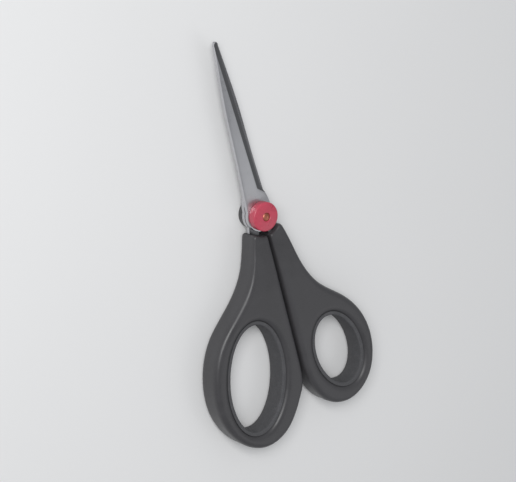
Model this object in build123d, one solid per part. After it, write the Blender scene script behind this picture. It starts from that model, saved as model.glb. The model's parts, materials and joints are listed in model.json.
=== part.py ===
from build123d import *
import os
from math import acos, atan2, cos, degrees, hypot, radians, sin

# Office scissors lying flat and closed.
# +Y runs from the pivot to the tips, +Z is up through the front half, and the origin is
# the pivot axis where it meets the surface that the scissors lie on.
# Each half is drawn with its blade up +Y, its spine towards -X and its loop towards +X.
# The front half is used as drawn; the rear half is turned half a turn about the Y axis.

# ---- Driving dimensions, in millimetres ----
GRIP_THICKNESS = 10.0          # loops and shanks, measured along Z
MID_PLANE = GRIP_THICKNESS / 2
BLADE_THICKNESS = 1.6
BLADE_GAP = 0.3                # across the mid-plane, kept open by the washer
SHANK_COVER = 2.4              # plastic over each face of the tang, next to the pivot

TIP_REACH = 64.4               # pivot axis to blade tip
LOOP_END = -81.8               # pivot axis to the end of the loops

RIVET_RADIUS = 2.0
RUNNING_CLEARANCE = 0.05       # radial, front blade on the rivet
STEEL_HEAD_RADIUS = 5.7        # blade plate round the pivot
HANDLE_TOP_RADIUS = 7.2        # the plastic ends on this circle round the pivot
HANDLE_TOP_ANGLE = -34.0       # where that circle meets a handle's outer side, in degrees

BEVEL_WIDTH = 2.35             # sharpened strip along the cutting edge
EDGE_LAND = 0.25               # steel left at the cutting edge
GRIP_ROUNDING = 2.0
TOP_CORNER = 1.0               # rounding of the handle's outer top corner, in plan
SLOPE_START = -9.0             # the shank's faces rise from here
SLOPE_END = -26.0              # to the grip's faces here
HANDLE_GAP = 0.5               # each handle stays this far from the centre line when closed
LINER_THICKNESS = 1.5          # soft ring inside each loop
LINER_INSET = 0.9              # how far the liner stops short of the loop's faces
LINER_ROUNDING = 0.7

# ---- Levels along Z, for the half that is drawn (the front one) ----
INNER_FACE = MID_PLANE + BLADE_GAP / 2
OUTER_FACE = INNER_FACE + BLADE_THICKNESS
SHANK_FACE = OUTER_FACE + SHANK_COVER
REAR_OUTER_FACE = GRIP_THICKNESS - OUTER_FACE
OUT_OF_THE_WAY = 40.0          # a length that clears the part in any cut

# ---- Pivot stack, from the back cap up to the rivet's formed end ----
CAP_RADIUS = 5.25              # the round caps at the front and the back
CAP_CLEARANCE = 0.15           # front cap over the blade that turns under it
CAP_TOP = 10.4                 # middle of the front cap's crowned face
CAP_CROWN = 0.4
CAP_ROUNDING = 0.6
THRUST_BASE = OUTER_FACE + RUNNING_CLEARANCE
THRUST_TOP = THRUST_BASE + 0.5
THRUST_RADIUS = 3.6
SHOULDER = 8.4                 # where the rivet's shank steps down to its neck
NECK_RADIUS = 1.1
RIVET_END_RADIUS = 1.5         # the rivet's formed end in the middle of the front cap
RIVET_END_HEIGHT = 0.5
RIVET_END_BASE = CAP_TOP - RIVET_END_HEIGHT
REAR_HEAD_RADIUS = 3.5         # the rivet's flat head inside the back cap
REAR_HEAD_BASE = 2.0
REAR_ROUNDING = 0.6
WASHER_RADIUS = 4.2            # the nylon washer between the blades
WASHER_PLAY = 0.02

# ---- Loops: centre, half sizes of the hole in the hard plastic, and lean in degrees ----
THUMB_HOLE = ((16.9, -60.6), (10.6, 15.6), 12.0)
FINGER_HOLE = ((19.9, -55.4), (12.6, 21.2), 14.0)

# Outer side of each handle, from beside the pivot round the end of the loop.
THUMB_SIDE = [
    (7.4, -9.0), (10.0, -20.0), (16.0, -33.0), (25.3, -42.5),
    (31.8, -54.0), (32.6, -65.5), (27.4, -77.0), (17.5, LOOP_END), (7.2, -77.8), (1.6, -67.0),
]
FINGER_SIDE = [
    (7.5, -9.0), (11.4, -18.5), (20.0, -28.0), (30.3, -36.5),
    (37.0, -48.5), (38.4, -61.5), (34.2, -73.5), (24.0, LOOP_END), (12.0, -79.6), (3.6, -70.0),
]
INNER_SIDE_END = -52.0         # the straight faces that meet when the scissors close
EDGE_START = (3.6, 10.0)       # the straight cutting edge
EDGE_END = (0.75, TIP_REACH - 1.5)
EDGE_HEEL = (4.7, 5.2)         # the plate widens here, between the edge and the pivot
SPINE_SIDE = [(-1.3, TIP_REACH - 1.5), (-2.0, 56.0), (-3.35, 40.0), (-3.95, 22.0), (-4.7, 8.0)]
THUMB_TANG = [
    (-0.6, 0), (4.6, -2.0), (7.6, -20.0), (9.6, -29.0), (5.4, -30.6), (2.2, -20.0), (1.6, -8.0)
]
FINGER_TANG = [
    (-0.6, 0), (4.6, -2.0), (8.2, -18.0), (13.4, -26.6), (10.0, -29.4), (2.8, -20.0), (1.6, -8.0)
]
THUMB_ANCHOR = (6.3, -24.0)        # hole in the tang that the plastic fills
FINGER_ANCHOR = (7.6, -22.5)
ANCHOR_RADIUS = 1.4


def prism(face, bottom, top):
    """A flat outline raised from one level to another."""
    return extrude(Pos(0, 0, bottom) * face, top - bottom)


def disc(radius, bottom, top):
    return Pos(0, 0, bottom) * Cylinder(
        radius, top - bottom, align=(Align.CENTER, Align.CENTER, Align.MIN)
    )


def turned_over(solid):
    """The rear half's version of a piece drawn for the front half."""
    return Pos(0, 0, GRIP_THICKNESS) * Rot(0, 180, 0) * solid


def round_the_pivot(angle):
    """A point of the circle on which the handles end."""
    return (
        HANDLE_TOP_RADIUS * cos(radians(angle)),
        HANDLE_TOP_RADIUS * sin(radians(angle)),
    )


def handle_outline(side_points):
    """One handle in plan: shank and the outside of the loop."""
    inner_angle = degrees(acos(HANDLE_GAP / HANDLE_TOP_RADIUS))
    outer_top = round_the_pivot(HANDLE_TOP_ANGLE)
    inner_top = round_the_pivot(-inner_angle)
    middle = round_the_pivot((HANDLE_TOP_ANGLE - inner_angle) / 2)
    outer = Spline(
        outer_top, *side_points, (HANDLE_GAP, INNER_SIDE_END),
        tangents=[(0.25, -1), (0, 1)],
    )
    inner = Line((HANDLE_GAP, INNER_SIDE_END), inner_top)
    outline = make_face([outer, inner, ThreePointArc(inner_top, middle, outer_top)])
    return fillet(outline.vertices().sort_by(Axis.Y)[-1], TOP_CORNER)


def hole_outline(hole, inset=0.0):
    (x, y), (half_width, half_length), lean = hole
    return Pos(x, y) * Rot(0, 0, lean) * Ellipse(half_width - inset, half_length - inset)


def level_change():
    """Material above the shank's level, with a slope up to the grip's face."""
    top = GRIP_THICKNESS + 1
    profile = Polyline(
        (OUT_OF_THE_WAY, SHANK_FACE), (SLOPE_START, SHANK_FACE),
        (SLOPE_END, GRIP_THICKNESS + 0.001), (SLOPE_END, top), (OUT_OF_THE_WAY, top),
        close=True,
    )
    side_view = Plane.YZ * make_face(profile)
    return extrude(side_view, OUT_OF_THE_WAY, both=True)


def handle(side_points, hole, blade):
    """One moulded handle, well rounded for the fingers, with the pocket that its tang fills."""
    grip = prism(handle_outline(side_points), 0, GRIP_THICKNESS)
    grip -= prism(hole_outline(hole), -1, GRIP_THICKNESS + 1)
    rims = [edge for face in grip.faces().filter_by(Axis.Z) for edge in face.edges()]
    grip = fillet(rims, GRIP_ROUNDING)
    grip -= level_change()
    grip -= turned_over(level_change())
    return grip - blade


def blade_outline(tang_points):
    """One blade in plan: tip, straight cutting edge, curved spine, head and tang."""
    root_half_width = STEEL_HEAD_RADIUS - 0.6
    outline = [
        Spline(
            (root_half_width, 0), EDGE_HEEL, EDGE_START,
            tangents=[(0, 1), (-0.1, 1)],
        ),
        Line(EDGE_START, EDGE_END),
        ThreePointArc(EDGE_END, (-0.3, TIP_REACH), SPINE_SIDE[0]),
        Spline(*SPINE_SIDE, (-root_half_width, 0)),
        Line((-root_half_width, 0), (root_half_width, 0)),
    ]
    tang = make_face(Polyline(*tang_points, close=True))
    return make_face(outline) + Circle(STEEL_HEAD_RADIUS) + tang


def edge_bevel():
    """The wedge that sharpening takes off the outer face along the cutting edge."""
    run = (EDGE_END[0] - EDGE_START[0], EDGE_END[1] - EDGE_START[1])
    past_the_tip = 6
    past_the_edge = 3
    overcut = 0.02
    land = INNER_FACE + EDGE_LAND
    above = OUTER_FACE + overcut
    wedge = Polyline(
        (overcut, land), (-BEVEL_WIDTH, above), (past_the_edge, above), (past_the_edge, land),
        close=True,
    )
    section = extrude(Plane.XZ * make_face(wedge), -(hypot(*run) + past_the_tip))
    turn = degrees(atan2(run[1], run[0])) - 90
    return Pos(*EDGE_START, 0) * Rot(0, 0, turn) * section


def blade(bore_radius, tang_points, anchor):
    """A stamped steel blade with its bevel, pivot bore and anchor hole."""
    plate = prism(blade_outline(tang_points), INNER_FACE, OUTER_FACE)
    plate -= disc(bore_radius, 0, GRIP_THICKNESS)
    plate -= Pos(*anchor, 0) * disc(ANCHOR_RADIUS, 0, GRIP_THICKNESS)
    return plate - edge_bevel()


def liner(hole):
    """The soft ring inside a loop, set back from both faces of the grip."""
    low = LINER_INSET
    high = GRIP_THICKNESS - LINER_INSET
    ring = prism(hole_outline(hole), low, high)
    ring -= prism(hole_outline(hole, LINER_THICKNESS), 0, GRIP_THICKNESS)
    flat_faces = ring.faces().filter_by(Axis.Z)
    inner_rims = [face.edges().sort_by(SortBy.LENGTH)[0] for face in flat_faces]
    return fillet(inner_rims, LINER_ROUNDING)


def washer(radius, bottom, top):
    """A flat ring that sits tight on the rivet's shank."""
    return disc(radius, bottom, top) - disc(RIVET_RADIUS, 0, 2 * GRIP_THICKNESS)


def pivot_rivet():
    """Flat head at the back, shank through both blades, and a neck formed over the cap."""
    head = disc(REAR_HEAD_RADIUS, REAR_HEAD_BASE, REAR_OUTER_FACE)
    shank = disc(RIVET_RADIUS, REAR_HEAD_BASE, SHOULDER)
    neck = disc(NECK_RADIUS, SHOULDER, RIVET_END_BASE)
    sphere_radius = (RIVET_END_RADIUS**2 + RIVET_END_HEIGHT**2) / (2 * RIVET_END_HEIGHT)
    formed_end = Pos(0, 0, CAP_TOP - sphere_radius) * Sphere(sphere_radius)
    formed_end &= disc(RIVET_END_RADIUS, RIVET_END_BASE, CAP_TOP)
    return head + shank + neck + formed_end


def pivot_cap():
    """The round red cap, crowned, over the thrust washer and held by the rivet's end."""
    base = OUTER_FACE + CAP_CLEARANCE
    rim = (CAP_RADIUS, CAP_TOP - CAP_CROWN)
    halfway = (CAP_RADIUS / 2, CAP_TOP - CAP_CROWN / 4)
    section = make_face([
        Polyline((0, CAP_TOP), (0, base), (CAP_RADIUS, base), rim),
        ThreePointArc(rim, halfway, (0, CAP_TOP)),
    ])
    section = fillet(section.vertices().sort_by(Axis.X)[-2:].sort_by(Axis.Y)[-1], CAP_ROUNDING)
    cap = revolve(Plane.XZ * section, Axis.Z)
    cap -= disc(THRUST_RADIUS, 0, THRUST_TOP)
    cap -= disc(RIVET_RADIUS, 0, SHOULDER)
    cap -= disc(NECK_RADIUS, 0, CAP_TOP + 1)
    return cap - disc(RIVET_END_RADIUS, RIVET_END_BASE, CAP_TOP + 1)


def rear_cap():
    """The flat cap over the rivet's head, which the scissors also rest on."""
    cap = disc(CAP_RADIUS, 0, REAR_OUTER_FACE)
    cap = fillet(cap.edges().group_by(Axis.Z)[0], REAR_ROUNDING)
    return cap - disc(REAR_HEAD_RADIUS, REAR_HEAD_BASE, REAR_OUTER_FACE)


def build():
    """Every node's name and solid, in the closed position."""
    front_blade = blade(RIVET_RADIUS + RUNNING_CLEARANCE, THUMB_TANG, THUMB_ANCHOR)
    rear_blade_drawn = blade(RIVET_RADIUS, FINGER_TANG, FINGER_ANCHOR)
    return {
        "front_blade": front_blade,
        "thumb_handle": handle(THUMB_SIDE, THUMB_HOLE, front_blade),
        "thumb_liner": liner(THUMB_HOLE),
        "rear_blade": turned_over(rear_blade_drawn),
        "finger_handle": turned_over(handle(FINGER_SIDE, FINGER_HOLE, rear_blade_drawn)),
        "finger_liner": turned_over(liner(FINGER_HOLE)),
        "pivot_rivet": pivot_rivet(),
        "pivot_cap": pivot_cap(),
        "rear_cap": rear_cap(),
        "blade_washer": washer(WASHER_RADIUS, GRIP_THICKNESS - INNER_FACE, INNER_FACE - WASHER_PLAY),
        "thrust_washer": washer(THRUST_RADIUS, THRUST_BASE, THRUST_TOP),
    }


os.makedirs("parts", exist_ok=True)
for node, solid in build().items():
    export_step(solid, f"parts/{node}.step")
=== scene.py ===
import json
import math

import bmesh
import bpy
from mathutils import Matrix, Vector

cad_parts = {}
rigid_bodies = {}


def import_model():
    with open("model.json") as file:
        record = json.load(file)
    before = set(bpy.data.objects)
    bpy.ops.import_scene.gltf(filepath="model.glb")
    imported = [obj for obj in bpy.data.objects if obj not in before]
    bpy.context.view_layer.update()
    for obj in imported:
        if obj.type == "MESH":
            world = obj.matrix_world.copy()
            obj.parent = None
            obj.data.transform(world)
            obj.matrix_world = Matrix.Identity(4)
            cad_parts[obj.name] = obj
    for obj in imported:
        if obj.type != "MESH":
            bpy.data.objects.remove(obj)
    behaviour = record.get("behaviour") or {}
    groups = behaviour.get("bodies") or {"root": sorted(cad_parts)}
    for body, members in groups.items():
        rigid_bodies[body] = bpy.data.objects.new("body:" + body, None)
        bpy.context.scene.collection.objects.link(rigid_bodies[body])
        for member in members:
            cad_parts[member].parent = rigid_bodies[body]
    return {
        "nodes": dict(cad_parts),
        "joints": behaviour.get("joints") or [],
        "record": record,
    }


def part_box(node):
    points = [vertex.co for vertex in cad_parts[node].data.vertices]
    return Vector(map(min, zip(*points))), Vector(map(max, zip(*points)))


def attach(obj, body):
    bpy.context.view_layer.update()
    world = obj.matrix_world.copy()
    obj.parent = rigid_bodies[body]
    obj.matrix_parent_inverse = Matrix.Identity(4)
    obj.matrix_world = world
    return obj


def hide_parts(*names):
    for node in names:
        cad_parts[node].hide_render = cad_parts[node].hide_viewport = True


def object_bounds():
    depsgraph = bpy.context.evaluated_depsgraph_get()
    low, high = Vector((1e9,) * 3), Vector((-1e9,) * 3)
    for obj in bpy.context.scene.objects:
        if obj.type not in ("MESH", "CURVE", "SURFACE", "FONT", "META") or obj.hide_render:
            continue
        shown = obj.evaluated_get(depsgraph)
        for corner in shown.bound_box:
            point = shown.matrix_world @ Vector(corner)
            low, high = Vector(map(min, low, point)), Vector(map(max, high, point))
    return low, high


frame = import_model()
CAD_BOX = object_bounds()
MM = 0.001

# The two bodies of the pivot's hinge
REAR_BODY = frame["joints"][0]["parent"]
FRONT_BODY = frame["joints"][0]["child"]


# ======================================================================= mesh helpers
WELD = 0.001          # mm, how near two vertices of a new mesh are when they are one
NODE_WELD = 0.002     # mm, the same for the split vertices of a CAD node
LATHE_SEGMENTS = 128  # round a turned part


def link(name, mesh):
    """A new object holding mesh, in the scene."""
    piece = bpy.data.objects.new(name, mesh)
    bpy.context.scene.collection.objects.link(piece)
    return piece


def node_copy(node, name):
    """A new piece that starts from a CAD node's shape, with its split vertices welded."""
    mesh = frame["nodes"][node].data.copy()
    piece = link(name, mesh)
    mesh.materials.clear()
    shape = bmesh.new()
    shape.from_mesh(mesh)
    bmesh.ops.remove_doubles(shape, verts=shape.verts, dist=NODE_WELD * MM)
    shape.to_mesh(mesh)
    shape.free()
    for stored_normals in [a.name for a in mesh.attributes if "normal" in a.name]:
        mesh.attributes.remove(mesh.attributes[stored_normals])
    return piece


def apply_modifiers(piece):
    """Turns what the modifiers show into the piece's own mesh."""
    bpy.context.view_layer.update()
    graph = bpy.context.evaluated_depsgraph_get()
    final = bpy.data.meshes.new_from_object(piece.evaluated_get(graph))
    piece.modifiers.clear()
    piece.data = final


def shade_smooth(piece, sharp_degrees=None):
    """Smooth shading, with edges sharper than the given angle kept crisp."""
    piece.data.polygons.foreach_set("use_smooth", [True] * len(piece.data.polygons))
    if sharp_degrees is not None:
        shape = bmesh.new()
        shape.from_mesh(piece.data)
        for edge in shape.edges:
            if len(edge.link_faces) == 2:
                edge.smooth = edge.calc_face_angle(0) < math.radians(sharp_degrees)
        shape.to_mesh(piece.data)
        shape.free()


def turned_ring(shape, radius, height):
    """The vertices that one profile point leaves when it turns; a single one on the axis."""
    if radius == 0:
        return [shape.verts.new((0, 0, height * MM))]
    turn = 2 * math.pi / LATHE_SEGMENTS
    return [
        shape.verts.new(
            (radius * MM * math.cos(i * turn), radius * MM * math.sin(i * turn), height * MM)
        )
        for i in range(LATHE_SEGMENTS)
    ]


def lathe(name, profile):
    """A solid of revolution about the pivot axis, from (radius, height) points in mm."""
    shape = bmesh.new()
    rings = [turned_ring(shape, radius, height) for radius, height in profile]
    for lower, upper in zip(rings, rings[1:]):
        for i in range(LATHE_SEGMENTS):
            j = (i + 1) % LATHE_SEGMENTS
            corners = [lower[i % len(lower)], lower[j % len(lower)],
                       upper[j % len(upper)], upper[i % len(upper)]]
            unique = list(dict.fromkeys(corners))
            if len(unique) > 2:
                shape.faces.new(unique)
    bmesh.ops.remove_doubles(shape, verts=shape.verts, dist=WELD * MM)
    bmesh.ops.recalc_face_normals(shape, faces=shape.faces)
    mesh = bpy.data.meshes.new(name)
    shape.to_mesh(mesh)
    shape.free()
    return link(name, mesh)


def arc(centre, radius, start, end, steps):
    """Points of a circular arc in a profile; angles in degrees, 0 pointing outwards."""
    angles = [math.radians(start + (end - start) * i / steps) for i in range(steps + 1)]
    return [
        (centre[0] + radius * math.cos(angle), centre[1] + radius * math.sin(angle))
        for angle in angles
    ]


# ==================================================================== material helpers
STANDING_OUT = (0.52, 0.58)  # Pointiness of an edge that handling wears
COLOUR_INPUTS = (6, 7)       # a mix node's two colours, which share their names with numbers
COLOUR_OUTPUT = 2


class Nodes:
    """A material being built, with short calls for the nodes that it uses."""

    def __init__(self, name):
        self.material = bpy.data.materials.new(name)
        self.material.use_nodes = True
        self.tree = self.material.node_tree
        self.shader = self.tree.nodes["Principled BSDF"]
        self.coordinates = self.tree.nodes.new("ShaderNodeTexCoord").outputs["Object"]

    def link(self, source, target):
        self.tree.links.new(source, target)

    def stretched(self, scale, turn=0.0):
        """Object coordinates, turned about Z and scaled on each axis."""
        mapping = self.tree.nodes.new("ShaderNodeMapping")
        mapping.inputs["Scale"].default_value = scale
        mapping.inputs["Rotation"].default_value = (0, 0, turn)
        self.link(self.coordinates, mapping.inputs["Vector"])
        return mapping.outputs["Vector"]

    def noise(self, scale, detail, roughness, vector=None, distortion=0.0):
        """A noise pattern; the larger its scale, the finer the pattern."""
        node = self.tree.nodes.new("ShaderNodeTexNoise")
        node.inputs["Scale"].default_value = scale
        node.inputs["Detail"].default_value = detail
        node.inputs["Roughness"].default_value = roughness
        node.inputs["Distortion"].default_value = distortion
        self.link(vector or self.coordinates, node.inputs["Vector"])
        return node.outputs["Fac"]

    def ramp(self, value, span, to=(0.0, 1.0)):
        """value mapped from one range to another, clamped."""
        node = self.tree.nodes.new("ShaderNodeMapRange")
        node.inputs["From Min"].default_value = span[0]
        node.inputs["From Max"].default_value = span[1]
        node.inputs["To Min"].default_value = to[0]
        node.inputs["To Max"].default_value = to[1]
        self.link(value, node.inputs["Value"])
        return node.outputs["Result"]

    def maths(self, operation, first, second):
        """A sum on two values; each is a number or a socket."""
        node = self.tree.nodes.new("ShaderNodeMath")
        node.operation = operation
        for socket, value in zip(node.inputs, (first, second)):
            if isinstance(value, (int, float)):
                socket.default_value = value
            else:
                self.link(value, socket)
        return node.outputs["Value"]

    def mix(self, factor, first, second):
        """Two colours mixed; each is a colour or a socket."""
        node = self.tree.nodes.new("ShaderNodeMix")
        node.data_type = "RGBA"
        for index, value in zip(COLOUR_INPUTS, (first, second)):
            socket = node.inputs[index]
            if isinstance(value, tuple):
                socket.default_value = (*value[:3], 1)
            else:
                self.link(value, socket)
        self.link(factor, node.inputs["Factor"])
        return node.outputs[COLOUR_OUTPUT]

    def bump(self, height, strength, depth, under=None):
        """A normal that follows a height pattern, depth mm deep, over another normal."""
        node = self.tree.nodes.new("ShaderNodeBump")
        node.inputs["Strength"].default_value = strength
        node.inputs["Distance"].default_value = depth * MM
        self.link(height, node.inputs["Height"])
        if under is not None:
            self.link(under, node.inputs["Normal"])
        return node.outputs["Normal"]

    def worn_edges(self):
        """0 on flat and hollow places, 1 along edges that stand out."""
        geometry = self.tree.nodes.new("ShaderNodeNewGeometry")
        return self.ramp(geometry.outputs["Pointiness"], STANDING_OUT)

    def set(self, **values):
        """The finished material, with the shader's inputs set or linked."""
        for name, value in values.items():
            socket = self.shader.inputs[name.replace("_", " ")]
            if isinstance(value, bpy.types.NodeSocket):
                self.link(value, socket)
            else:
                socket.default_value = value
        return self.material


def slot_colour(slot):
    """The base colour that the record gives a material slot."""
    found = [m for m in frame["record"]["materials"] if m["slot"] == slot]
    return tuple(found[0]["base_color"][:3])


def scaled(colour, factor):
    """A brighter or darker colour."""
    return tuple(min(1.0, c * factor) for c in colour)


# ========================================================================== materials
MIDDLE = (0.3, 0.7)          # the part of a noise pattern that holds nearly all its values
LINE_STRETCH = 40            # how much longer a grinding line is than it is wide
SCRATCH_STRETCH = (1, 0.04, 1)
CAP_SCRATCH_STRETCH = (1, 0.05, 1)
CAP_RED_PAINTED_SHADE = 0.78              # the cap's red is a little darker than its slot's as painted shade, and paler as a painted sheen
CAP_PAINTED_SHEEN = 0.02


def ground_steel(name, slot, lines_across, brightness=1.0, base_roughness=0.26, edge_tint=1.0):
    """Stainless steel with fine grinding lines, faint smudges and a few scratches."""
    n = Nodes(name)
    colour = scaled(slot_colour(slot), brightness)
    line_scale = (1, LINE_STRETCH, 1) if lines_across else (LINE_STRETCH, 1, 1)
    lines = n.noise(420, detail=4, roughness=0.6, vector=n.stretched(line_scale))
    fine_lines = n.noise(2200, detail=2, roughness=0.5, vector=n.stretched(line_scale))
    smudges = n.noise(55, detail=4, roughness=0.6, distortion=0.6)
    scratches = n.noise(
        900, detail=1, roughness=0.3, vector=n.stretched(SCRATCH_STRETCH, turn=0.5)
    )
    thin_scratches = n.ramp(scratches, (0.74, 0.78))
    tone = n.mix(n.ramp(smudges, (0.3, 0.75)), scaled(colour, 0.86), colour)
    tone = n.mix(n.ramp(lines, (0.35, 0.8), to=(0, 0.35)), tone, scaled(colour, 0.7))
    rough = n.ramp(smudges, MIDDLE, to=(base_roughness, base_roughness + 0.12))
    rough = n.maths("ADD", rough, n.ramp(lines, (0.25, 0.75), to=(-0.05, 0.07)))
    normal = n.bump(lines, strength=0.22, depth=0.02)
    normal = n.bump(fine_lines, strength=0.15, depth=0.01, under=normal)
    normal = n.bump(thin_scratches, strength=0.25, depth=0.01, under=normal)
    return n.set(
        Base_Color=tone, Roughness=rough, Normal=normal, Metallic=1.0, Anisotropic=0.35,
        Specular_Tint=(edge_tint, edge_tint, edge_tint, 1),
    )


def handle_plastic(name, slot):
    """Satin moulded plastic: fine spark-eroded grain, polished unevenly by handling."""
    n = Nodes(name)
    colour = slot_colour(slot)
    grain = n.noise(3200, detail=2, roughness=0.55)
    coarse_grain = n.noise(1300, detail=2, roughness=0.5)
    handling = n.noise(45, detail=4, roughness=0.6, distortion=0.8)
    tone = n.mix(n.ramp(handling, MIDDLE), scaled(colour, 0.85), scaled(colour, 1.25))
    tone = n.mix(n.ramp(grain, (0.35, 0.7), to=(0, 0.5)), tone, scaled(colour, 1.5))
    rough = n.ramp(handling, MIDDLE, to=(0.31, 0.47))
    normal = n.bump(coarse_grain, strength=0.3, depth=0.06)
    normal = n.bump(grain, strength=0.45, depth=0.04, under=normal)
    return n.set(Base_Color=tone, Roughness=rough, Normal=normal, Specular_IOR_Level=0.5)


def soft_rubber(name, slot):
    """Matte elastomer with a fine stipple and pale dust in places."""
    n = Nodes(name)
    colour = slot_colour(slot)
    stipple = n.noise(1900, detail=2, roughness=0.6)
    dust = n.noise(120, detail=5, roughness=0.7, distortion=0.5)
    tone = n.mix(n.ramp(dust, (0.5, 0.8), to=(0, 0.5)), colour, scaled(colour, 1.9))
    tone = n.mix(n.ramp(stipple, (0.4, 0.7), to=(0, 0.6)), tone, scaled(colour, 0.7))
    rough = n.ramp(dust, MIDDLE, to=(0.66, 0.82))
    normal = n.bump(stipple, strength=0.4, depth=0.05)
    return n.set(Base_Color=tone, Roughness=rough, Normal=normal, Specular_IOR_Level=0.35)


def cap_plastic(name, slot):
    """Semi-gloss coloured plastic with faint flow marks and fine handling scratches."""
    n = Nodes(name)
    red, green, blue = slot_colour(slot)
    # The cap's red: darkened as painted shade, green and blue raised as a painted sheen.
    colour = (CAP_RED_PAINTED_SHADE * red, green + CAP_PAINTED_SHEEN, blue + CAP_PAINTED_SHEEN)
    flow = n.noise(260, detail=4, roughness=0.55, distortion=1.2)
    scratches = n.noise(
        2600, detail=1, roughness=0.4, vector=n.stretched(CAP_SCRATCH_STRETCH, turn=0.7)
    )
    worn = n.worn_edges()
    tone = n.mix(n.ramp(flow, MIDDLE), scaled(colour, 0.86), scaled(colour, 1.1))
    tone = n.mix(n.maths("MULTIPLY", worn, 0.3), tone, scaled(colour, 1.5))
    rough = n.ramp(flow, MIDDLE, to=(0.26, 0.38))
    normal = n.bump(n.ramp(scratches, (0.68, 0.74)), strength=0.12, depth=0.01)
    normal = n.bump(flow, strength=0.08, depth=0.05, under=normal)
    return n.set(Base_Color=tone, Roughness=rough, Normal=normal, Specular_IOR_Level=0.5)


def turned_steel(name, slot, brightness):
    """Bare or plated steel with the concentric marks of the forming tool."""
    n = Nodes(name)
    colour = scaled(slot_colour(slot), brightness)
    split = n.tree.nodes.new("ShaderNodeSeparateXYZ")
    n.link(n.coordinates, split.inputs["Vector"])
    square_x = n.maths("MULTIPLY", split.outputs["X"], split.outputs["X"])
    square_y = n.maths("MULTIPLY", split.outputs["Y"], split.outputs["Y"])
    radius = n.maths("SQRT", n.maths("ADD", square_x, square_y), 0)
    along_radius = n.tree.nodes.new("ShaderNodeCombineXYZ")
    n.link(radius, along_radius.inputs["X"])
    rings = n.noise(5200, detail=3, roughness=0.6, vector=along_radius.outputs["Vector"])
    stain = n.noise(500, detail=4, roughness=0.6)
    tone = n.mix(n.ramp(stain, MIDDLE), scaled(colour, 0.75), colour)
    rough = n.ramp(rings, MIDDLE, to=(0.36, 0.55))
    normal = n.bump(rings, strength=0.35, depth=0.02)
    return n.set(Base_Color=tone, Roughness=rough, Normal=normal, Metallic=1.0)


def nylon(name, slot):
    """Natural nylon with a faint mottle."""
    n = Nodes(name)
    colour = slot_colour(slot)
    mottle = n.noise(700, detail=4, roughness=0.6)
    tone = n.mix(n.ramp(mottle, MIDDLE), scaled(colour, 0.9), colour)
    rough = n.ramp(mottle, (0, 1), to=(0.42, 0.55))
    return n.set(Base_Color=tone, Roughness=rough, Normal=n.bump(mottle, strength=0.1, depth=0.02))


MATERIALS = {
    "face": ground_steel("blade_face", "blade_steel", lines_across=False),
    # The bevel is the blade steel painted about a third as bright, with dimmed edge reflections:
    # painted shade and painted dark reflection.
    "bevel": ground_steel(
        "blade_bevel_painted_shade", "blade_steel", lines_across=True, brightness=0.34, base_roughness=0.3,
        edge_tint=0.35,
    ),
    # The inner face is the blade steel painted about half as bright: painted shade from the other
    # blade and painted dark reflection.
    "inner": ground_steel(
        "blade_inner_painted_shade", "blade_steel", lines_across=True, brightness=0.46, base_roughness=0.24
    ),
    "handle": handle_plastic("handle_satin", "handle_plastic"),
    "liner": soft_rubber("liner_soft", "liner_rubber"),
    "cap": cap_plastic("cap_red", "cap_plastic"),
    "rear_cap": handle_plastic("rear_cap_satin", "rear_cap_plastic"),
    "plating": turned_steel("rivet_plated", "rivet_plating", brightness=0.85),
    "steel": turned_steel("washer_turned", "rivet_steel", brightness=0.8),
    "nylon": nylon("washer_natural", "washer_nylon"),
}


def finish_piece(piece, node, body):
    """Sets a piece on its body, in its CAD node's place, and hides that CAD node."""
    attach(piece, body)
    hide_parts(node)


# ============================================================================= blades
CROWN = 0.10          # mm by which the outer face falls away towards the spine and the edge
HOLLOW = 0.14         # mm of hollow grinding on the inner face
GROUND_FROM = 7.0     # mm ahead of the pivot: flat behind this line,
GROUND_FULLY = 14.0   # and fully crowned and hollow beyond this one
EDGE_BREAK = 0.09     # mm taken off each sharp corner
BROKEN_OVER = 18      # degrees: flatter corners than this are left alone
BLADE_CREASE = 30     # degrees: sharper edges than this stay crisp when shaded
STATION_STEP = 1.5    # mm between the cuts across a blade that let its faces curve
TIP_MARGIN = 0.5      # mm before the tip where those cuts stop
STRIPS = 8            # strips between a blade's two sides
STRIPS_START = 8.0    # mm ahead of the pivot, where the strips' lines are laid out
STRIPS_END = 61.0     # and where they end
BEVEL_CORNER = (3.6, 10.0)      # mm, where the front blade's edge and its bevel start
BEVEL_INSET = 2.31              # mm along X from there to near the bevel's upper corner
EDGE_LAND = 0.27                # mm up from the inner face to near the edge's corner
BEVEL_RUN_OUT = (4.15, 7.4)     # near where the grinding wheel lifts off the blade's side
CORNER_WELD = 0.05    # mm, for the bevel's corner, which ends up on the edge
CUT_TOLERANCE = 0.0005  # mm
SAME_CUT = 0.001      # mm along Y within which vertices are on one cut
FLAT_WITHIN = 0.1     # degrees between the triangles of one flat CAD face
FACING = 0.9          # how far a flat face's normal points up or down
SLANTING = 0.3        # and the least that a bevel's does


def with_parts(faces):
    """Faces with their own edges and vertices, as the mesh operators want them."""
    edges = {edge for face in faces for edge in face.edges}
    verts = {vert for face in faces for vert in face.verts}
    return [*faces, *edges, *verts]


def cut(shape, faces, place, normal):
    """Splits faces along a plane."""
    bmesh.ops.bisect_plane(
        shape, geom=with_parts(faces), dist=CUT_TOLERANCE * MM, plane_co=place, plane_no=normal
    )


def nearest(shape, place):
    """The vertex of a mesh that is nearest to a point in mm."""
    target = Vector(place) * MM
    return min(shape.verts, key=lambda vert: (vert.co - target).length)


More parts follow.
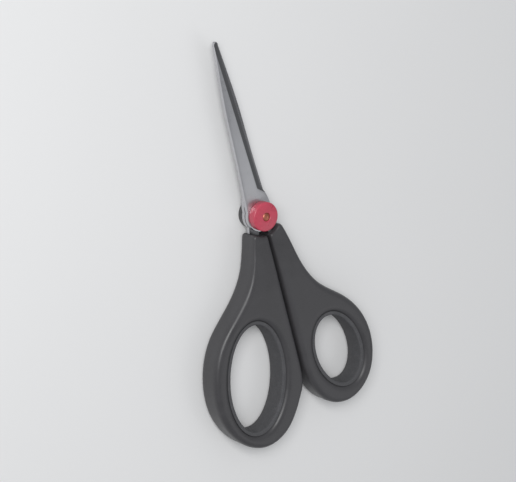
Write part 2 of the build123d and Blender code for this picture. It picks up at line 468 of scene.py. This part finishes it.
def run_out(shape, side, inner_z, outer_z):
    """Turns the bevel's blunt start into the slope that a lifting wheel leaves.
    side is 1 for the front blade and -1 for the rear one, whose edge is on the left."""
    x, y = BEVEL_CORNER
    edge_start = nearest(shape, (side * x, y, inner_z + side * EDGE_LAND))
    corner = nearest(shape, (side * x, y, outer_z))
    bevel_top = nearest(shape, (side * (x - BEVEL_INSET), y, outer_z))
    lift_off = nearest(shape, (side * BEVEL_RUN_OUT[0], BEVEL_RUN_OUT[1], outer_z))
    outer_face = (set(bevel_top.link_faces) & set(lift_off.link_faces)).pop()
    bmesh.utils.face_split(outer_face, bevel_top, lift_off)
    slope = (bevel_top.co - edge_start.co).cross(lift_off.co - edge_start.co)
    facet = (set(corner.link_faces) & set(bevel_top.link_faces) & set(lift_off.link_faces)).pop()
    for vert in set(facet.verts) - {bevel_top, lift_off}:
        reach = vert.co - edge_start.co
        vert.co.z = edge_start.co.z - (reach.x * slope.x + reach.y * slope.y) / slope.z
    bmesh.ops.remove_doubles(shape, verts=[corner, edge_start], dist=CORNER_WELD * MM)


def sides_at(shape, y):
    """Lowest and highest X of the vertices on the cut at y."""
    on_cut = [vert.co.x for vert in shape.verts if abs(vert.co.y - y) < SAME_CUT * MM]
    return min(on_cut), max(on_cut)


def cut_for_grinding(shape, tip):
    """Cuts across and along the blade ahead of the pivot; returns its sides at each cut."""
    stations = []
    y = GROUND_FROM * MM
    while y < tip - TIP_MARGIN * MM:
        cut(shape, shape.faces[:], (0, y, 0), (0, 1, 0))
        stations.append((y, *sides_at(shape, y)))
        y += STATION_STEP * MM
    start_low, start_high = between(stations, STRIPS_START * MM)
    end_low, end_high = between(stations, STRIPS_END * MM)
    for i in range(1, STRIPS):
        share = i / STRIPS
        start = Vector((start_low + share * (start_high - start_low), STRIPS_START * MM, 0))
        end = Vector((end_low + share * (end_high - end_low), STRIPS_END * MM, 0))
        ahead = [f for f in shape.faces if f.calc_center_median().y > GROUND_FROM * MM]
        cut(shape, ahead, start, (end - start).cross(Vector((0, 0, 1))))
    return stations


def between(stations, y):
    """A blade's two sides at y, on straight lines between its stations."""
    for lower, upper in zip(stations, stations[1:]):
        if y <= upper[0]:
            share = (y - lower[0]) / (upper[0] - lower[0])
            return tuple(lower[i] + share * (upper[i] - lower[i]) for i in (1, 2))
    return stations[-1][1:]


def grind(shape, stations, inner_z, thickness, up):
    """Crowns the outer face and hollows the inner one, fading in ahead of the pivot."""
    for vert in shape.verts:
        if vert.co.y < GROUND_FROM * MM:
            continue
        ramp = min(1.0, (vert.co.y / MM - GROUND_FROM) / (GROUND_FULLY - GROUND_FROM))
        left, right = between(stations, vert.co.y)
        across = max(-1.0, min(1.0, 2 * (vert.co.x - left) / (right - left) - 1))
        height = abs(vert.co.z - inner_z) / thickness
        outer_fall = CROWN * across**2 * height
        inner_hollow = HOLLOW * (1 - across**2) * (1 - height)
        vert.co.z += up * ramp * (inner_hollow - outer_fall) * MM


def paint_blade(shape, up):
    """Gives a blade's faces their finishes: 0 outside, 1 on the bevel and 2 inside; the bevel and
    the inside take the steel painted darker, as painted shade and painted dark reflection.
    """
    shape.normal_update()
    for face in shape.faces:
        outward = face.normal.z * up
        if outward < -FACING:
            face.material_index = 2
        elif SLANTING < outward < FACING:
            face.material_index = 1


def break_corners(piece):
    """Rounds off a piece's sharp corners in two narrow facets each."""
    corners = piece.modifiers.new("corners", "BEVEL")
    corners.width = EDGE_BREAK * MM
    corners.segments = 2
    corners.limit_method = "ANGLE"
    corners.angle_limit = math.radians(BROKEN_OVER)
    corners.use_clamp_overlap = False
    apply_modifiers(piece)


def blade(name, node, body, up):
    """A blade with crowned outer face, hollow inner face and broken corners.
    up is 1 for the front blade, whose outer face looks up, and -1 for the rear one."""
    piece = node_copy(node, name)
    for finish in ("face", "bevel", "inner"):
        piece.data.materials.append(MATERIALS[finish])
    low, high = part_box(node)
    inner_z, outer_z = (low.z, high.z) if up > 0 else (high.z, low.z)
    shape = bmesh.new()
    shape.from_mesh(piece.data)
    bmesh.ops.dissolve_limit(
        shape, angle_limit=math.radians(FLAT_WITHIN), verts=shape.verts, edges=shape.edges
    )
    run_out(shape, up, inner_z / MM, outer_z / MM)
    paint_blade(shape, up)
    shape.to_mesh(piece.data)
    break_corners(piece)
    shape.clear()
    shape.from_mesh(piece.data)
    stations = cut_for_grinding(shape, high.y)
    grind(shape, stations, inner_z, high.z - low.z, up)
    shape.to_mesh(piece.data)
    shape.free()
    shade_smooth(piece, BLADE_CREASE)
    finish_piece(piece, node, body)


# ============================================================================ handles
VOXEL = 0.36          # mm, the grid that a handle's surface is rebuilt on
SOFTENING = 16        # smoothing passes, which round every moulded edge
SOFTENING_PULL = 0.5  # how far each pass moves a vertex towards its neighbours
POCKET_MOUTH = -7.8   # mm along Y; behind this the tang is moulded in


def filled_pocket(node, name):
    """The part of a blade that its handle is moulded round."""
    piece = node_copy(node, name)
    shape = bmesh.new()
    shape.from_mesh(piece.data)
    opening = bmesh.ops.bisect_plane(
        shape, geom=shape.verts[:] + shape.edges[:] + shape.faces[:],
        plane_co=(0, POCKET_MOUTH * MM, 0), plane_no=(0, 1, 0), clear_outer=True,
    )
    rim = [e for e in opening["geom_cut"] if isinstance(e, bmesh.types.BMEdge)]
    bmesh.ops.holes_fill(shape, edges=rim)
    shape.to_mesh(piece.data)
    shape.free()
    return piece


def join(pieces):
    """Several pieces made one mesh, under the first one's name."""
    shape = bmesh.new()
    for piece in pieces:
        shape.from_mesh(piece.data)
    shape.to_mesh(pieces[0].data)
    shape.free()
    for piece in pieces[1:]:
        bpy.data.objects.remove(piece)
    return pieces[0]


def moulded(piece):
    """Gives a piece the even mesh and the softened edges of a moulding."""
    voxels = piece.modifiers.new("voxels", "REMESH")
    voxels.mode = "VOXEL"
    voxels.voxel_size = VOXEL * MM
    soften = piece.modifiers.new("soften", "SMOOTH")
    soften.factor = SOFTENING_PULL
    soften.iterations = SOFTENING
    apply_modifiers(piece)
    shade_smooth(piece)


def handle(name, node, blade_node, body):
    """A moulded handle: the CAD shape with its pocket filled and every edge softened."""
    piece = join([node_copy(node, name), filled_pocket(blade_node, name + "_fill")])
    moulded(piece)
    piece.data.materials.append(MATERIALS["handle"])
    finish_piece(piece, node, body)


# ============================================================================= liners
THUMB_OVAL = ((16.9, -60.6), (10.6, 15.6), 12.0)      # mm: centre, half sizes, lean in degrees
FINGER_OVAL = ((-19.9, -55.4), (12.6, 21.2), -14.0)
LINER_THICKNESS = 1.5
LINER_BULGE = 0.2     # mm by which the middle of the liner stands proud of its rims
BEDDED = 0.15         # mm of the liner's back that lies in the handle
RIM_RADIUS = 0.6
RIM_LIP = 10          # degrees short of a full quarter, where a rim meets the bulge
RIM_STEPS = 6
BULGE_STEPS = 12      # along the height of the full face
OVAL_STEPS = 160      # round a loop
LINER_CREASE = 50     # degrees


def liner_section(low, high):
    """Points (depth from the loop's wall, height) of a liner's section, in mm."""
    face = LINER_THICKNESS - LINER_BULGE
    rim = face - RIM_RADIUS
    section = [(-BEDDED, low)]
    section += arc((rim, low + RIM_RADIUS), RIM_RADIUS, -90, -RIM_LIP, RIM_STEPS)
    middle = (low + high) / 2
    half = middle - low - RIM_RADIUS
    for i in range(1, BULGE_STEPS):
        along = 2 * i / BULGE_STEPS - 1
        section.append((face + LINER_BULGE * (1 - along**2), middle + half * along))
    section += arc((rim, high - RIM_RADIUS), RIM_RADIUS, RIM_LIP, 90, RIM_STEPS)
    section.append((-BEDDED, high))
    return section


def swept_round(oval, section):
    """A closed ring: the section carried round the inside of an oval loop."""
    (x, y), (half_width, half_length), lean = oval
    turn = Matrix.Rotation(math.radians(lean), 2)
    shape = bmesh.new()
    rings = []
    for i in range(OVAL_STEPS):
        angle = 2 * math.pi * i / OVAL_STEPS
        ring = []
        for depth, height in section:
            across = (half_width - depth) * math.cos(angle)
            along = (half_length - depth) * math.sin(angle)
            place = turn @ Vector((across, along)) + Vector((x, y))
            ring.append(shape.verts.new(Vector((place.x, place.y, height)) * MM))
        rings.append(ring)
    for here, after in zip(rings, rings[1:] + rings[:1]):
        for j in range(len(section)):
            k = (j + 1) % len(section)
            shape.faces.new((here[j], after[j], after[k], here[k]))
    bmesh.ops.recalc_face_normals(shape, faces=shape.faces)
    return shape


def liner(name, node, body, oval):
    """A soft ring inside its loop, with rounded rims and a slightly full face."""
    low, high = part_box(node)
    shape = swept_round(oval, liner_section(low.z / MM, high.z / MM))
    mesh = bpy.data.meshes.new(name)
    shape.to_mesh(mesh)
    shape.free()
    piece = link(name, mesh)
    shade_smooth(piece, LINER_CREASE)
    mesh.materials.append(MATERIALS["liner"])
    finish_piece(piece, node, body)


# ======================================================================== pivot stack
SHANK_RADIUS = 2.0    # mm, the rivet through both blades
SHOULDER = 8.4        # mm up, where the shank steps down to the neck
NECK_RADIUS = 1.1
END_RADIUS = 1.5      # the rivet's formed end in the middle of the red cap
END_HEIGHT = 0.5
TURNED_CREASE = 40    # degrees
EDGE_ROUNDING = 0.15  # small rounding at the foot of the cap and of the rivet's head
CAP_ROUNDING = 0.6    # large rounding at the rim of both caps
THRUST_RADIUS = 3.6   # room in the red cap's foot for the thrust washer
THRUST_DEPTH = 0.4
RIM_DROP = 0.4        # red cap's rim below the rivet's end
RIM_SLACK = 0.02      # and how far its arc stays below that
RIM_TURN = 80         # degrees of the rim's arc before the crown takes over
CROWN_STEPS = 8
CROWN_FALL = 0.42     # from the middle of the red cap to its side
CROWN_START = 0.7     # in from the cap's side
WELL_RIM = 0.35       # play round the rivet's end at the cap's face
WELL_WALL = [(0.16, 0.08), (0.04, 0.2)]          # play and depth below the cap's top
WELL_FLOOR = 0.02     # and at the bottom of its recess
DOME_STEPS = 10
DIMPLE = [(0.2, 0.03), (0.12, 0.1), (0, 0.12)]   # radius and depth below the rivet's top
CHAMFER = 0.1         # rear cap's upper edge
RING_GROOVE = [(3.9, 0), (3.8, 0.14), (3.5, 0.14), (3.4, 0)]  # radius and depth in the rear face


def in_mm(node):
    """A round node's outer radius, bottom and top, in mm."""
    low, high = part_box(node)
    return high.x / MM, low.z / MM, high.z / MM


def turned_piece(name, profile, finish, node):
    """A finished piece turned about the pivot, riding with the rear half."""
    piece = lathe(name, profile)
    shade_smooth(piece, TURNED_CREASE)
    piece.data.materials.append(MATERIALS[finish])
    finish_piece(piece, node, REAR_BODY)


def pivot_cap():
    """The red cap: soft base edge, rounded rim, crowned face and the rivet's recess."""
    radius, base, top = in_mm("pivot_cap")
    rivet_top = in_mm("pivot_rivet")[2]
    rim_top = rivet_top - RIM_DROP
    recess = rivet_top - END_HEIGHT
    foot = base + THRUST_DEPTH
    profile = [
        (SHANK_RADIUS, SHOULDER), (SHANK_RADIUS, foot), (THRUST_RADIUS, foot), (THRUST_RADIUS, base)
    ]
    profile += arc((radius - EDGE_ROUNDING, base + EDGE_ROUNDING), EDGE_ROUNDING, -90, 0, 3)
    rim_centre = (radius - CAP_ROUNDING, rim_top - CAP_ROUNDING - RIM_SLACK)
    profile += arc(rim_centre, CAP_ROUNDING, 0, RIM_TURN, 10)
    crown_start = radius - CROWN_START
    crown_end = END_RADIUS + WELL_RIM
    for i in range(1, CROWN_STEPS + 1):
        place = crown_start + (crown_end - crown_start) * i / CROWN_STEPS
        profile.append((place, top - CROWN_FALL * (place / radius) ** 2))
    profile += [(END_RADIUS + play, top - depth) for play, depth in WELL_WALL]
    profile += [(END_RADIUS + WELL_FLOOR, recess), (NECK_RADIUS, recess), (NECK_RADIUS, SHOULDER)]
    profile.append(profile[0])
    turned_piece("red_pivot_cap", profile, "cap", "pivot_cap")


def pivot_rivet():
    """The rivet: flat rear head, shank, neck, and a domed end with a small dimple."""
    rear_radius, base, top = in_mm("pivot_rivet")
    rear_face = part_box("rear_blade")[0].z / MM
    end_base = top - END_HEIGHT
    profile = [(0, base)]
    profile += arc((rear_radius - EDGE_ROUNDING, base + EDGE_ROUNDING), EDGE_ROUNDING, -90, 0, 3)
    profile += [(rear_radius, rear_face), (SHANK_RADIUS, rear_face), (SHANK_RADIUS, SHOULDER)]
    profile += [(NECK_RADIUS, SHOULDER), (NECK_RADIUS, end_base), (END_RADIUS, end_base)]
    for i in range(1, DOME_STEPS):
        turn = math.pi / 2 * i / DOME_STEPS
        profile.append((END_RADIUS * math.cos(turn), end_base + END_HEIGHT * math.sin(turn)))
    profile += [(place, top - depth) for place, depth in DIMPLE]
    turned_piece("pivot_rivet_formed", profile, "plating", "pivot_rivet")


def rear_cap():
    """The flat back cap, with a fine turned ring in its face."""
    radius, base, top = in_mm("rear_cap")
    head_radius, head_base, _ = in_mm("pivot_rivet")
    profile = [(0, head_base), (head_radius, head_base), (head_radius, top)]
    profile += [(radius - CHAMFER, top), (radius, top - CHAMFER)]
    profile += arc((radius - CAP_ROUNDING, base + CAP_ROUNDING), CAP_ROUNDING, 0, -90, 8)
    profile += [(place, base + depth) for place, depth in RING_GROOVE]
    profile.append((0, base))
    turned_piece("rear_cap_turned", profile, "rear_cap", "rear_cap")


def repaint(node, finish):
    """A CAD node that keeps its shape and gets a better finish."""
    mesh = frame["nodes"][node].data
    mesh.materials.clear()
    mesh.materials.append(MATERIALS[finish])


# ===================================================================== camera and light
VIEW_FROM = Vector((-0.488, 0.350, 0.800))  # from the scissors towards the camera
IMAGE_UP = Vector((0.285, 0.958, 0.0))      # what points up in the picture
DISTANCE = 0.60                             # metres, to the middle of the scissors
LENS = 118                                  # mm
NEAREST_SEEN = 0.01                         # metres
FLOOR_HALF_SIZE = 3.0                       # metres
KEY = {"place": (-0.35, 0.35, 0.6), "size": 0.4, "power": 4.0}     # metres and watts
FILL = {"place": (0.33, -0.42, 0.5), "size": 0.35, "power": 0.28}
SURROUND_COLOUR = (0.9, 0.92, 0.95, 1)
SURROUND_STRENGTH = 0.40


def camera():
    """The camera, looking at the middle of the CAD box."""
    low, high = CAD_BOX
    target = (low + high) / 2
    data = bpy.data.cameras.new("camera")
    data.lens = LENS
    data.clip_start = NEAREST_SEEN
    piece = bpy.data.objects.new("camera", data)
    bpy.context.scene.collection.objects.link(piece)
    back = VIEW_FROM.normalized()
    right = IMAGE_UP.cross(back).normalized()
    up = back.cross(right)
    turn = Matrix((right, up, back)).transposed()
    piece.matrix_world = Matrix.Translation(target + back * DISTANCE) @ turn.to_4x4()
    bpy.context.scene.camera = piece


def area_light(name, place, size, power):
    """A square lamp that points at the pivot."""
    data = bpy.data.lights.new(name, "AREA")
    data.shape = "RECTANGLE"
    data.size, data.size_y = size, size
    data.energy = power
    lamp = bpy.data.objects.new(name, data)
    lamp.location = place
    lamp.rotation_euler = (-Vector(place)).to_track_quat("-Z", "Y").to_euler()
    bpy.context.scene.collection.objects.link(lamp)


def pale_floor():
    """A wide floor under the scissors, staged so that it isn't part of the object."""
    shape = bmesh.new()
    bmesh.ops.create_grid(shape, x_segments=1, y_segments=1, size=FLOOR_HALF_SIZE)
    mesh = bpy.data.meshes.new("floor")
    shape.to_mesh(mesh)
    shape.free()
    floor = link("floor", mesh)
    n = Nodes("floor_pale")
    cloud = n.noise(6, detail=2, roughness=0.5)
    tone = n.mix(cloud, (0.80, 0.80, 0.80), (0.84, 0.84, 0.84))
    mesh.materials.append(n.set(Base_Color=tone, Roughness=0.85, Specular_IOR_Level=0.2))


def studio():
    """A pale floor, a soft key from above, a wide fill and a light grey surround."""
    pale_floor()
    area_light("key", **KEY)
    area_light("fill", **FILL)
    world = bpy.data.worlds.new("surround")
    world.use_nodes = True
    background = world.node_tree.nodes["Background"]
    background.inputs["Color"].default_value = SURROUND_COLOUR
    background.inputs["Strength"].default_value = SURROUND_STRENGTH
    bpy.context.scene.world = world
    bpy.context.scene.view_settings.view_transform = "Standard"


camera()
studio()
blade("blade_front_ground", "front_blade", FRONT_BODY, 1)
blade("blade_rear_ground", "rear_blade", REAR_BODY, -1)
handle("handle_thumb_moulded", "thumb_handle", "front_blade", FRONT_BODY)
handle("handle_finger_moulded", "finger_handle", "rear_blade", REAR_BODY)
liner("liner_thumb_soft", "thumb_liner", FRONT_BODY, THUMB_OVAL)
liner("liner_finger_soft", "finger_liner", REAR_BODY, FINGER_OVAL)
pivot_cap()
pivot_rivet()
rear_cap()
repaint("blade_washer", "nylon")
repaint("thrust_washer", "steel")
